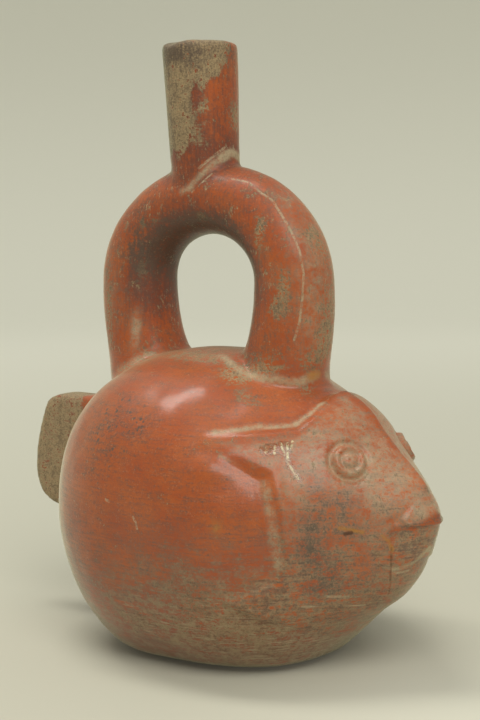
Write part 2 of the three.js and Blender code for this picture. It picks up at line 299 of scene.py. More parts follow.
def round_body(name, segments, rings, wall=0, tip_wall=0):
    """A sphere with its poles at the tail and the snout, moved to the body's form."""
    bpy.ops.mesh.primitive_uv_sphere_add(
        segments=segments, ring_count=rings, radius=1, rotation=(0, math.pi / 2, 0))
    piece = bpy.context.object
    piece.name = name
    settle(piece)
    unit = corners(piece) * MM
    back = REAR_LENGTH - wall
    reach = SNOUT_REACH - tip_wall
    x = (reach - back) / 2 + unit[:, 0] * (reach + back) / 2
    girth = np.hypot(unit[:, 1], unit[:, 2])
    safe = np.maximum(girth, 1e-6)
    sideways = np.where(girth > 1e-4, unit[:, 1] / safe, 0)
    upwards = np.where(girth > 1e-4, unit[:, 2] / safe, 0)
    middle, half, rise, depth, power = body_section(x, wall, tip_wall)
    power = np.where(upwards >= 0, power, BELLY_ROUNDNESS)
    y = np.sign(sideways) * np.abs(sideways) ** (2 / power) * half
    height = np.where(upwards >= 0, rise, depth)
    z = middle + np.sign(upwards) * np.abs(upwards) ** (2 / power) * height
    put_corners(piece, np.stack([x, y, z], -1))
    return piece


def edit():
    """Opens the active piece for editing, with all of it selected."""
    bpy.ops.object.mode_set(mode="EDIT")
    bpy.ops.mesh.select_all(action="SELECT")


def edit_done():
    bpy.ops.object.mode_set(mode="OBJECT")


def disc(name, sides, radius, centre=(0, 0, 0), turn=0):
    bpy.ops.mesh.primitive_circle_add(vertices=sides, radius=radius * MM, fill_type="NGON",
                                      location=centre, rotation=(0, turn, 0))
    piece = settle(bpy.context.object)
    piece.name = name
    return piece


def cut_below(piece, height):
    """Cuts the piece off flat at a height and closes it."""
    only(piece)
    edit()
    bpy.ops.mesh.bisect(plane_co=(0, 0, height * MM), plane_no=(0, 0, 1),
                        use_fill=True, clear_inner=True)
    edit_done()
    return piece


def drawn_tube(name, sides, centres, radii, headings):
    """A disc at the first centre, drawn out ring by ring through the others."""
    piece = disc(name, sides, radii[0], centres[0], math.pi / 2 - headings[0])
    edit()
    for i in range(1, len(centres)):
        bpy.ops.mesh.extrude_region_move(
            TRANSFORM_OT_translate={"value": centres[i] - centres[i - 1]})
        bpy.ops.transform.rotate(value=headings[i] - headings[i - 1], orient_axis="Y",
                                 center_override=centres[i])
        grow = radii[i] / radii[i - 1]
        bpy.ops.transform.resize(value=(grow, grow, grow), center_override=centres[i])
    edit_done()
    return piece


def stirrup_stations(steps_leg, steps_arch):
    """Centres of the stirrup's rings, from the back foot over the crown to the front foot."""
    root = TOP_HEIGHT - ROOT_DEPTH
    foot = TOP_HEIGHT - FOOT_DEPTH
    z = np.linspace(root, SPREAD_HEIGHT, steps_leg, endpoint=False)
    bow = 1 - ((SPREAD_HEIGHT - z) / (SPREAD_HEIGHT - foot)) ** 2
    x = FOOT_SPREAD + (STIRRUP_SPREAD - FOOT_SPREAD) * bow
    back_leg = np.stack([-x, z], -1)
    front_leg = np.stack([x, z], -1)[::-1]
    turn = np.linspace(0, math.pi, steps_arch)
    arch = np.stack([-STIRRUP_SPREAD * np.cos(turn),
                     SPREAD_HEIGHT + (CROWN_HEIGHT - SPREAD_HEIGHT) * np.sin(turn)], -1)
    path = np.vstack([back_leg, arch, front_leg])
    path[:, 0] += STIRRUP_SHIFT
    return path


def tube_radius(place):
    x, z = place
    foot = TOP_HEIGHT - FOOT_DEPTH
    rise = min(max((z - foot) / (CROWN_HEIGHT - foot), 0), 1)
    straight = FOOT_RADIUS + (CROWN_RADIUS - FOOT_RADIUS) * rise
    swell = (LEG_RADIUS - (FOOT_RADIUS + CROWN_RADIUS) / 2) * 4 * rise * (1 - rise)
    middle, _, top, _, _ = (float(v) for v in body_section(np.float64(x)))
    above = max(z - middle - top, 0)
    return straight + swell + FOOT_FLARE * math.exp(-above / FLARE_HEIGHT)


def stirrup_tube(name, wall, sides, steps_leg, steps_arch):
    """A tube from the back foot over the crown to the front foot."""
    path = stirrup_stations(steps_leg, steps_arch)
    headings = np.unwrap([math.atan2(dz, dx) for dx, dz in np.gradient(path, axis=0)])
    centres = [Vector((x, 0, z)) * MM for x, z in path]
    radii = [tube_radius(place) - wall for place in path]
    return drawn_tube(name, sides, centres, radii, headings)


def turned_spout(name, sides, profile):
    """A tube from the stirrup's crown up the leaning spout, through (radius, rise)."""
    centres = [Vector((SPOUT_SHIFT - SPOUT_LEAN * rise, 0, CROWN_HEIGHT + rise)) * MM
               for _, rise in profile]
    radii = [radius for radius, _ in profile]
    return drawn_tube(name, sides, centres, radii, [math.pi / 2] * len(profile))


def lip_curve(radius, way):
    """The rounded lip of a tube, turning out of it (1) or into it (-1)."""
    turns = [math.pi / 2 * i / 4 for i in range(1, 5)]
    return [(radius + way * LIP_ROUND * (1 - math.cos(turn)),
             SPOUT_HEIGHT - LIP_ROUND + LIP_ROUND * math.sin(turn)) for turn in turns]


def spout_profile():
    """Outside of the spout: a flaring tube with a rounded lip."""
    flare = SPOUT_RIM_RADIUS - SPOUT_ROOT_RADIUS
    shares = [i / 10 for i in range(11)]
    profile = [(SPOUT_ROOT_RADIUS + flare * share, (SPOUT_HEIGHT - LIP_ROUND) * share)
               for share in shares]
    return profile + lip_curve(SPOUT_RIM_RADIUS, -1)


def bore_profile():
    """Inside of the spout, opening out a little at the lip."""
    mouth = SPOUT_RIM_RADIUS - SPOUT_WALL
    profile = [(SPOUT_ROOT_RADIUS - SPOUT_WALL, 0), (mouth, SPOUT_HEIGHT - LIP_ROUND)]
    profile += lip_curve(mouth, 1)
    return profile + [(mouth + LIP_ROUND, SPOUT_HEIGHT + SPARE)]


def tail_slab():
    """A block behind the body, with its rear corners rounded and its rear edge bowed."""
    tall = TAIL_TOP - TAIL_BOTTOM
    root = -REAR_LENGTH + SPARE
    long = TAIL_REACH + root
    bpy.ops.mesh.primitive_cube_add(
        size=1, location=((root - long / 2) * MM, 0, (TAIL_BOTTOM + tall / 2) * MM))
    piece = bpy.context.object
    piece.name = "tail"
    piece.scale = (long * MM, TAIL_THICKNESS * MM, tall * MM)
    settle(piece)
    edit()
    bpy.ops.mesh.subdivide(number_cuts=24)
    edit_done()
    places = corners(piece)
    down = (TAIL_TOP - places[:, 2]) / tall
    back = (root - places[:, 0]) / long
    rim = tail_rim(down)
    places[:, 0] = root - back * (rim + root)
    places[:, 2] -= TAIL_SLOPE * tall * down * (1 - back)
    put_corners(piece, places)
    apply_modifier(piece, "REMESH", mode="VOXEL", voxel_size=TAIL_VOXEL * MM)
    apply_modifier(piece, "SMOOTH", factor=0.5, iterations=14)
    return piece


def set_up(piece, place, *axes):
    """Puts a piece at a place, turned to three axes."""
    turn = Matrix(axes).transposed().to_4x4()
    piece.matrix_world = Matrix.Translation(Vector(place) * MM) @ turn


def make_camera():
    azimuth = math.radians(CAMERA_AZIMUTH)
    side = Vector((math.cos(azimuth), math.sin(azimuth), 0))
    place = Vector((math.sin(azimuth), -math.cos(azimuth), 0)) * CAMERA_DISTANCE
    place.z = CAMERA_HEIGHT
    aim = side * AIM_SIDE + Vector((0, 0, AIM_HEIGHT))
    ahead = (aim - place).normalized()
    right = ahead.cross(Vector((0, 0, 1))).normalized()
    up = right.cross(ahead)
    roll = math.radians(CAMERA_ROLL)
    right, up = (right * math.cos(roll) + up * math.sin(roll),
                 up * math.cos(roll) - right * math.sin(roll))
    bpy.ops.object.camera_add(location=place * MM)
    camera = bpy.context.object
    set_up(camera, place, right, up, -ahead)
    camera.data.lens = CAMERA_LENS
    camera.data.sensor_width = CAMERA_SENSOR
    camera.data.clip_end = 20
    bpy.context.scene.camera = camera


def edge_distance(places, a, b):
    """Distance of each place from the straight edge between two points."""
    edge = b - a
    t = np.clip(((places - a) @ edge) / (edge @ edge), 0, 1)
    return np.linalg.norm(places - a - t[:, None] * edge, axis=1)


def outline_distance(places, outline):
    """Distance inside an outline seen from the side; negative outside it."""
    points = np.array([side_place(p) for p in outline])
    at = places[:, [0, 2]]
    nearest = np.full(len(at), 1e9)
    inside = np.zeros(len(at), bool)
    for a, b in zip(points, np.roll(points, -1, axis=0)):
        nearest = np.minimum(nearest, edge_distance(at, a, b))
        crosses = (a[1] > at[:, 1]) != (b[1] > at[:, 1])
        safe = np.where(crosses, b[1] - a[1], 1)
        meets = a[0] + (at[:, 1] - a[1]) * (b[0] - a[0]) / safe
        inside ^= crosses & (at[:, 0] < meets)
    return np.where(inside, nearest, -nearest)


def on_line(places, path, width):
    """1 on a line drawn through points, fading out over a width."""
    points = np.array(path, float)
    away = [edge_distance(places, a, b) for a, b in zip(points[:-1], points[1:])]
    return np.exp(-(np.min(away, axis=0) / width) ** 2)


def spot(places, centre, radii):
    """1 at the centre of a soft spot, fading out over its radii."""
    return np.exp(-(((places - np.array(centre)) / np.array(radii)) ** 2).sum(1))


def on_lines(places, lines):
    return sum(amount * on_line(places, path, width) for path, width, amount in lines)


def in_spots(places, spots):
    return sum(amount * spot(places, centre, radii) for centre, radii, amount in spots)


def both_sides(lines):
    """Lines of path, width and amount, with their mirror images on the far side."""
    return lines + [([(x, -y, z) for x, y, z in path], width, amount)
                    for path, width, amount in lines]


def gill_parts(places):
    """Distance inside the head's outline, and how strongly the outline shows there."""
    fade_low, fade_high = (side_place((0, up))[1] for up in RELIEF_FADE)
    fade = smoothstep(fade_low, fade_high, places[:, 2])
    on_body = 1 - smoothstep(TOP_HEIGHT - 9, TOP_HEIGHT - 3, places[:, 2])
    return outline_distance(places, GILL_OUTLINE), fade * on_body


def eye_distances(places, normals):
    """Distance from the middle of each eye for the corners on it."""
    x, z = side_place(EYE_PLACE)
    for side in (-1, 1):
        centre = flank(x, z, side)
        out = np.cross(flank(x + 0.5, z, side) - centre, flank(x, z + 0.5, side) - centre)
        out *= side * np.sign(out[1]) / np.linalg.norm(out)
        offset = places - centre
        rise = offset @ out
        on_eye = (normals @ out > 0.3) & (np.abs(rise) < 8)
        yield np.where(on_eye, np.linalg.norm(offset - np.outer(rise, out), axis=1), 99)


def carve(piece):
    """Raises the head, beak, lip and eyes out of the smooth body."""
    places = corners(piece)
    normals = outward(piece)
    inside, strength = gill_parts(places)
    spike_end = 1 - 0.7 * smoothstep(46, 28, places[:, 0])
    step = smoothstep(-1.8, 1.5, inside) * spike_end
    raised = FAINT_RELIEF * smoothstep(-8, 8, inside)
    raised += (HEAD_RELIEF - FAINT_RELIEF) * strength * step
    raised -= 0.3 * strength * spike_end * np.exp(-((inside + 1.9) / 1.3) ** 2)
    side_edge = smoothstep(68, 60, places[:, 2])
    raised += (0.05 + 0.25 * side_edge) * strength * np.exp(-((inside - 1.6) / 1.2) ** 2)
    beak = smoothstep(-0.4, 0.7, outline_distance(places, BEAK_OUTLINE))
    up_to_lip = 1 - 0.9 * smoothstep(48, 55, places[:, 2])
    raised += BEAK_RELIEF * beak * up_to_lip
    raised += LIP_RELIEF * smoothstep(-0.6, 0.6, outline_distance(places, LIP_OUTLINE))
    raised += on_lines(places, both_sides([(MOUTH, 0.8, -0.8), (BEAK_CREASE, 0.8, -0.3)]))
    raised += on_lines(places, [(CRACK, 0.45, -0.35), (CREST, 1.3, 0.85)])
    raised += in_spots(places, [((32, -42.5, 66), (6, 6, 4), 1.1), (PIT, (1.2, 1.2, 0.55), -1.1),
                                ((32, 42.5, 66), (6, 6, 4), 1.1)])
    for away in eye_distances(places, normals):
        disc = smoothstep(EYE_RADIUS + 0.5, EYE_RADIUS - 0.9, away)
        raised += EYE_RISE * disc * (1 - 0.25 * smoothstep(2.5, 0, away))
        raised -= 0.7 * np.exp(-((away - EYE_RING) / 0.65) ** 2)
        raised += 0.4 * smoothstep(PUPIL_RADIUS + 0.7, PUPIL_RADIUS - 0.5, away)
        raised -= 0.65 * np.exp(-((away - EYE_RADIUS - 0.9) / 0.8) ** 2)
    put_corners(piece, places + normals * raised[:, None])


def weather(piece):
    """Hand-worked unevenness, clay smeared at the joins, and the chipped rim."""
    places = corners(piece)
    normals = outward(piece)
    raised = np.array([0.22 * noise.noise(Vector(p) / 17) + 0.09 * noise.noise(Vector(p) / 5)
                       for p in places])
    raised *= smoothstep(0, 6, places[:, 2])
    for path in (NEAR_FOOT_LINE, SPOUT_SEAM, FAR_FOOT_LINE):
        raised += 0.35 * on_line(places, path, 1.3)
        raised -= 0.25 * on_line(places, [(x, y * 0.8, z + 1.8) for x, y, z in path], 0.9)
    places = places + normals * raised[:, None]
    chip = spot(places, RIM_CHIP, (3.2, 3, 2.6))
    places[:, 2] -= 0.9 * chip * smoothstep(190, 194, places[:, 2])
    rim = smoothstep(192.5, 195, places[:, 2])
    wobble = np.array([noise.noise(Vector(p) / 3.5) for p in places])
    places[:, 2] -= rim * (0.2 + 0.25 * wobble)
    places[:, 2] -= places[:, 2].min()
    places[:, 2] = np.where(places[:, 2] < 0.3, 0, places[:, 2])
    level = np.maximum(np.linalg.norm(places[:, :2], axis=1), 1)
    tuck = BASE_TUCK * np.clip(1 - places[:, 2] / BASE_ROUND, 0, 1) ** 2
    places[:, :2] *= (1 - np.minimum(tuck / level, 0.5))[:, None]
    put_corners(piece, places)


def hollow_out(vessel):
    """Takes the chamber, the passage in the stirrup and the bore of the spout out of the clay."""
    chamber = cut_below(round_body("chamber", 56, 44, BODY_WALL, SNOUT_WALL), BODY_WALL)
    passage = stirrup_tube("passage", TUBE_WALL, 32, 8, 28)
    bore = turned_spout("bore", 56, bore_profile())
    for other in (passage, bore):
        apply_modifier(chamber, "BOOLEAN", operation="UNION", solver="MANIFOLD", object=other)
        bpy.data.objects.remove(other)
    apply_modifier(vessel, "BOOLEAN", operation="DIFFERENCE", solver="MANIFOLD", object=chamber)
    bpy.data.objects.remove(chamber)


def make_vessel():
    outside = [
        cut_below(round_body("body", 160, 128), 0),
        stirrup_tube("stirrup", 0, 64, 14, 48),
        turned_spout("spout", 72, spout_profile()),
        tail_slab(),
    ]
    vessel = join_pieces("vessel_clay", outside)
    apply_modifier(vessel, "REMESH", mode="VOXEL", voxel_size=VOXEL * MM)
    apply_modifier(vessel, "SMOOTH", factor=0.5, iterations=8)
    only(vessel)
    edit()
    bpy.ops.mesh.select_all(action="DESELECT")
    edit_done()
    centres = np.array([face.center for face in vessel.data.polygons]) / MM
    carved = outline_distance(centres, GILL_OUTLINE) > -CARVING_MARGIN
    carved &= (centres[:, 2] > CARVED_BAND[0]) & (centres[:, 2] < CARVED_BAND[1])
    vessel.data.polygons.foreach_set("select", carved)
    bpy.ops.object.mode_set(mode="EDIT")
    bpy.ops.mesh.subdivide(number_cuts=1)
    edit_done()
    carve(vessel)
    weather(vessel)
    hollow_out(vessel)
    paint(vessel)
    only(vessel)
    bpy.ops.object.shade_smooth()
    return vessel


# Marks on the near side as spots of centre, radii and amount, or lines of path, width and amount
WORN_SHARE = 0.85
WORN_SPOTS = [
    ((28.2, -11.9, 133.5), (1.5, 4, 6), 0.45), ((29, -11.9, 137), (1.2, 3, 2), 0.3),
    ((37.3, -11.7, 117), (1.9, 4, 6.5), 0.42), ((34.8, -12.5, 111.5), (2.6, 4, 3.2), 0.4),
    ((41, -1.7, 134), (1.6, 4, 4.5), 0.35), ((43, 0.5, 129), (1.5, 4, 4), 0.3),
    ((43.9, -0.7, 98), (2, 6, 8), 0.3), ((45, 1.5, 108), (1.6, 5, 16), 0.3),
    ((4.7, -9.6, 139), (3, 4, 1.6), 0.5), ((-26.2, -11.3, 137.7), (1.3, 3, 2.6), 0.4),
    ((-19.4, -11.6, 137.3), (1.3, 3, 2), 0.4), ((-14.1, -11.1, 138.6), (2, 3, 1.6), 0.3),
    ((-22.2, -8.8, 122.5), (1.6, 2.5, 3), 0.5), ((-34.5, -11, 108), (2, 5, 14), 0.36),
    ((-18.9, -11, 93.5), (5, 5, 3), 0.35), ((-25.4, -15, 89.5), (5, 5, 3), 0.35),
    ((33.1, -13.6, 93), (7, 4, 1.8), 0.45), ((42, -7, 94), (3, 5, 3), 0.3),
    ((25, -19.2, 90.8), (5.5, 6, 3.5), 0.7), ((30.8, -24, 85.5), (3, 4, 3), 0.4),
    ((34.5, -24, 83.6), (4, 3.5, 2.2), 0.3), ((42.4, -7.2, 86.1), (4, 4, 3), 0.4),
    ((41, -18, 82), (5, 5, 3), 0.16), ((10, -17, 96), (24, 8, 3), 0.42),
    ((9, -45, 18), (14, 10, 4), 0.2), ((30, -45, 27), (10, 10, 7), 0.2),
    ((42, -38, 20), (12, 10, 7), 0.22), ((48, -36, 31), (5, 6, 5), 0.22),
    ((2, -37, 5), (34, 14, 4), -0.25), ((24, -51, 44), (6, 8, 3), 0.1),
]
SPOUT_SPOTS = [((2.6, -10.6, 177), (1.8, 3, 6), -0.75), ((8.7, 2.4, 171), (3, 4, 6), 0.35)]
SOOT_AND_SHADE_SPOTS = [
    ((58.5, -26, 60.5), (3, 4, 4), 0.3), ((64.5, -21.5, 56), (5, 6, 4), 0.34),
    ((59.5, -28, 51), (4, 5, 6), 0.3), ((66, -20.5, 48), (5, 6, 3.5), 0.25),
    ((58.5, -29, 42), (3.5, 6, 5), 0.38), ((64, -24, 38), (5, 6, 4), 0.2),
    ((60, -26, 31.5), (6, 7, 4), 0.38), ((67, -17, 30), (6, 7, 4), 0.15),
    # The spot under the arch at (8, -6, 137) is painted shade as well as soot.
    ((-22.9, -9.5, 128), (6, 8, 7), 0.35), ((8, -6, 137), (24, 10, 3.5), 0.3),
    ((-3.4, -44.8, 76), (16, 12, 14), 0.34), ((33.4, -23.7, 84.2), (8, 7, 4), 0.3),
    ((54.7, -22.9, 70.8), (7, 7, 7), 0.16), ((21, -47.7, 26), (16, 8, 7), 0.14),
    ((79.9, -7.2, 44.4), (4, 5, 4), 0.2), ((-22, -8, 138), (12, 8, 9), 0.2),
    ((-6, -44, 62), (8, 9, 10), 0.1), ((20, -49, 55), (12, 8, 8), 0.06),
    ((30, -48, 30), (16, 8, 5), 0.14), ((20, -52, 38), (20, 8, 6), 0.1),
    ((25.7, -12.9, 96.2), (4, 4, 5), 0.35), ((8, -24, 94), (18, 5, 3), 0.22),
    ((-7, -11, 191.5), (6, 5, 3.5), 1), ((2, -11, 189), (4, 4, 5), 0.4),
    ((9, 2, 190), (4, 6, 5), 0.35), ((12, -44, 10), (26, 12, 6), 0.02),
]
THIN_AND_HIGHLIGHT_SPOTS = [
    ((72, -9, 62), (10, 12, 10), 0.25), ((81, -5, 52), (5, 6, 4), 0.25),
    # The streak on the far leg's inner side at (-23.6, -11.2, 101.5) is a painted highlight.
    ((55, -22, 71), (5, 7, 6), 0.2), ((-23.6, -11.2, 101.5), (1.6, 4, 7), 0.65),
    ((39, -10, 116), (9, 10, 20), 0.16), ((-33, -10, 112), (6, 8, 20), 0.22),
    ((75.2, -3, 30), (6, 6, 5), 0.35),
]
DEEP_SPOTS = [
    ((-33, -8, 112), (5, 8, 18), 0.5), ((22, -10, 104), (5, 7, 9), 0.5),
    ((-25, -40, 45), (16, 14, 22), 0.3),
]
BROWN_SPOTS = [
    ((79.5, -5, 43), (5, 7, 4), 0.9), ((70, -16, 36.5), (4, 5, 4), -0.5),
    ((-2, -37, 6), (24, 10, 5), -0.55),
]
DOTTED_SPOTS = [((-3.2, -44.8, 74.8), (11, 10, 9), 1), ((0, -40, 80), (9, 10, 7), 0.5)]
VARNISH_SPOTS = [((45.4, -31.9, 71.5), (2.2, 4, 1.8), 1), ((48.6, -27.8, 72), (2.5, 4, 2), 1)]
VARNISH_RUN = [(50, -28.2, 70.5), (51.5, -29.2, 67.6), (55, -28.8, 63)]
OCHRE_SPOTS = [((42.8, -3, 90.6), (2.2, 3.5, 1.4), 0.9), ((37.7, -46.1, 50), (2.5, 4, 4), 0.45)]
OCHRE_LINES = [
    (CRACK, 0.7, 0.35), (NEAR_FOOT_LINE, 0.9, 0.35),
    ([(73.5, -13.8, 46.2), (75, -12.5, 44.5), (75.6, -11.5, 42)], 0.8, 0.6),
    ([(64.8, -23, 49), (67, -21, 48.4), (69.7, -18.2, 47.6)], 0.8, 0.75),
    ([(51.5, -29.5, 66.5), (56.5, -28, 60)], 1, 0.3),
]
DUSTY_LINES = [
    (NEAR_FOOT_LINE, 1.8, 0.75), (SPOUT_SEAM, 1.4, 0.75), (FAR_FOOT_LINE, 2.4, 0.6),
    (MOUTH, 1.1, 0.8), (GILL_TRENCH_TOP, 1.5, 0.7), (GILL_TRENCH_SIDE, 2.2, 0.5),
    (SPIKE_UNDERSIDE, 0.9, 0.5), (GILL_DIAGONAL, 1, 0.35),
]
# How far round the spout the slip is scraped off: height, and degrees from the near side
SCRAPED_EDGE = [(150, -120), (155, -60), (160, 0), (165, 25), (172, 34), (180, 42), (185, 72),
                (190, 88)]


def beside_crest(at, shift, width):
    """1 along a line beside the crest."""
    path = [(x, shift, z) for x, _, z in CREST]
    return (np.abs(at.y) < 9) * on_line(at.places, path, width)


class Skin:
    """The corners of the vessel, and how much each belongs to a part of it."""

    def __init__(self, piece):
        self.places = corners(piece)
        self.normals = outward(piece)
        self.x, self.y, self.z = x, y, z = self.places.T
        axis = SPOUT_SHIFT - SPOUT_LEAN * (z - CROWN_HEIGHT)
        self.inside, self.edge_strength = gill_parts(self.places)
        self.near = smoothstep(6, -6, y)
        self.spout = smoothstep(147, 152, z) * (np.hypot(x - axis, y) < SPOUT_RIM_RADIUS + 2)
        self.stirrup = smoothstep(93, 97, z) * (1 - self.spout)
        self.tail = smoothstep(-53, -56, x) * (np.abs(y) < TAIL_THICKNESS)
        self.head = smoothstep(-0.8, 0.8, self.inside) * (z < TOP_HEIGHT - 6)
        self.body = (1 - self.stirrup) * (1 - self.spout) * (1 - self.tail) * (1 - self.head)
        self.low = smoothstep(66, 6, z + 14 * smoothstep(18, -20, x))
        self.base = self.body * smoothstep(7, 2, z) * smoothstep(34, 10, x)
        self.eyes = list(eye_distances(self.places, self.normals))
        # The stirrup's inner side
        loop = np.stack([x - STIRRUP_SHIFT, 0 * y, z - SPREAD_HEIGHT], -1)
        reach = np.maximum(np.linalg.norm(loop, axis=1), 1)
        self.inward = -(self.normals * loop).sum(1) / reach
        # The part of the spout where the slip is scraped off, with a ragged edge
        self.around = np.degrees(np.arctan2(x - axis, -y))
        ragged = np.array([noise.noise(Vector(p) / 4) for p in self.places])
        edge = np.interp(z + 4 * ragged, *zip(*SCRAPED_EDGE)) + 14 * ragged
        start = smoothstep(-150, -70, self.around + 40 * ragged)
        self.scraped = start * smoothstep(edge + 20, edge - 20, self.around)


def worn_slip(at):
    wear = at.body * (0.14 + 0.12 * at.low + 0.1 * at.low * smoothstep(0, 45, at.x))
    wear += at.head * (0.2 + 0.1 * smoothstep(40, 20, at.z))
    wear += at.stirrup * 0.24 + at.tail * (0.82 - 0.2 * smoothstep(73.5, 77, at.z))
    wear += at.spout * (0.2 + 0.8 * at.scraped + in_spots(at.places, SPOUT_SPOTS))
    return wear + WORN_SHARE * in_spots(at.places, WORN_SPOTS) - 0.12 * at.base


def soot(at):
    soot = 0.14 + 0.07 * at.stirrup + 0.05 * at.tail
    soot += 0.18 * at.near * at.head * smoothstep(64, 50, at.z)
    # Painted shade, with some soot: darker on the stirrup's inner side towards its top, where
    # shade falls inside the loop.
    soot += 0.65 * at.stirrup * smoothstep(0.1, 0.9, at.inward) * smoothstep(110, 130, at.z)
    soot += 0.08 * at.spout * smoothstep(187, 192, at.z)
    soot += at.spout * at.scraped * (0.12 + 0.22 * smoothstep(10, -45, at.around))
    return soot + in_spots(at.places, SOOT_AND_SHADE_SPOTS)


def dust(at):
    dust = on_lines(at.places, both_sides(DUSTY_LINES))
    for away in at.eyes:
        dust += 0.5 * np.exp(-((away - EYE_RADIUS - 1) / 0.8) ** 2)
        dust += 0.25 * np.exp(-((away - EYE_RING) / 0.5) ** 2)
    dust += 0.5 * spot(at.places, RIM_CHIP, (3, 3, 2))
    return dust + 0.4 * at.near * beside_crest(at, 3.4, 1.6)


def thin_slip_and_highlight(at):
    thin = at.body * (0.08 + 0.3 * at.low) + 0.1 * at.stirrup + 0.4 * at.tail
    thin += at.head * (0.43 - 0.12 * smoothstep(50, 36, at.z))
    # The outer side of the front leg is made paler.
    thin += 0.25 * at.stirrup * smoothstep(0.5, 0.95, -at.inward) * smoothstep(20, 34, at.x)
    thin -= 0.3 * at.edge_strength * np.exp(-((at.inside - 1.2) / 1.5) ** 2)
    thin += on_lines(at.places, [(CREST, 1.4, -0.45), *both_sides([(BEAK_EDGE, 1.3, -0.5)])])
    thin += 0.13 * beside_crest(at, 4, 2)
    for away in at.eyes:
        thin += 0.1 * smoothstep(EYE_RADIUS + 0.3, EYE_RADIUS - 0.5, away)
    # The spots include the painted highlight on the far leg.
    return thin + in_spots(at.places, THIN_AND_HIGHLIGHT_SPOTS)


def deep_slip_and_shade(at):
    # Painted shade: the stirrup's inner side is darker towards its top, where shade falls inside
    # the loop.
    deep = 1.2 * at.stirrup * smoothstep(-0.1, 0.8, at.inward) * smoothstep(98, 122, at.z)
    deep += at.spout * (0.25 + 0.45 * smoothstep(178, 160, at.z) + 0.8 * at.scraped)
    deep += 0.3 * at.stirrup * smoothstep(135, 142, at.z) * at.near
    deep += 0.9 * at.tail + 0.85 * at.body * at.low + 0.4 * at.base
    deep += 0.2 * at.head * smoothstep(62, 34, at.z)
    deep += on_lines(at.places, both_sides([(BEAK_EDGE, 1.1, 0.4)]))
    return deep + in_spots(at.places, DEEP_SPOTS)


def browned_slip(at):
    ahead = 0.43 + 0.14 * smoothstep(0, 40, at.x)
    brown = 0.12 + at.body * smoothstep(0.15, 0.95, at.low) * ahead
    brown += at.head * (0.12 + 0.45 * smoothstep(56, 26, at.z))
    return brown + in_spots(at.places, BROWN_SPOTS) - 0.55 * at.base


# The marks written in the vessel's corners, up to four to a layer; the sooty and darker-slip
# marks also hold painted shade inside the stirrup's loop, and the thin-slip mark a painted
# highlight on the far leg.
LAYERS = [("wear", "soot", "dust", "thin"), ("gloss", "ochre", "specks", "flecks"),
          ("deep", "brown", "matte")]


def paint(piece):
    """Writes where the slip is worn, sooty, dusty, thin, glossy or stained, and where shade and a
    highlight are painted, per corner.
    """
    at = Skin(piece)
    marks = {
        "wear": worn_slip(at),
        "soot": soot(at),
        "dust": dust(at),
        "thin": thin_slip_and_highlight(at),
        "gloss": in_spots(at.places, VARNISH_SPOTS) + on_line(at.places, VARNISH_RUN, 1.1),
        "ochre": in_spots(at.places, OCHRE_SPOTS) + on_lines(at.places, OCHRE_LINES),
        "specks": in_spots(at.places, DOTTED_SPOTS),
        "flecks": (0.12 + 0.5 * at.stirrup + 0.35 * at.spout + 0.4 * at.head
                   + 0.3 * at.body * at.low),
        "deep": deep_slip_and_shade(at),
        "brown": browned_slip(at),
        "matte": at.stirrup + at.spout + at.tail + 0.6 * at.head,
    }
    for names in LAYERS:
        layer = piece.data.color_attributes.new(
            name="_".join(names), type="FLOAT_COLOR", domain="POINT")
        values = np.zeros((len(at.places), 4), np.float32)
        for i, name in enumerate(names):
            values[:, i] = np.clip(marks[name], 0, 1)
        layer.data.foreach_set("color", values.ravel())


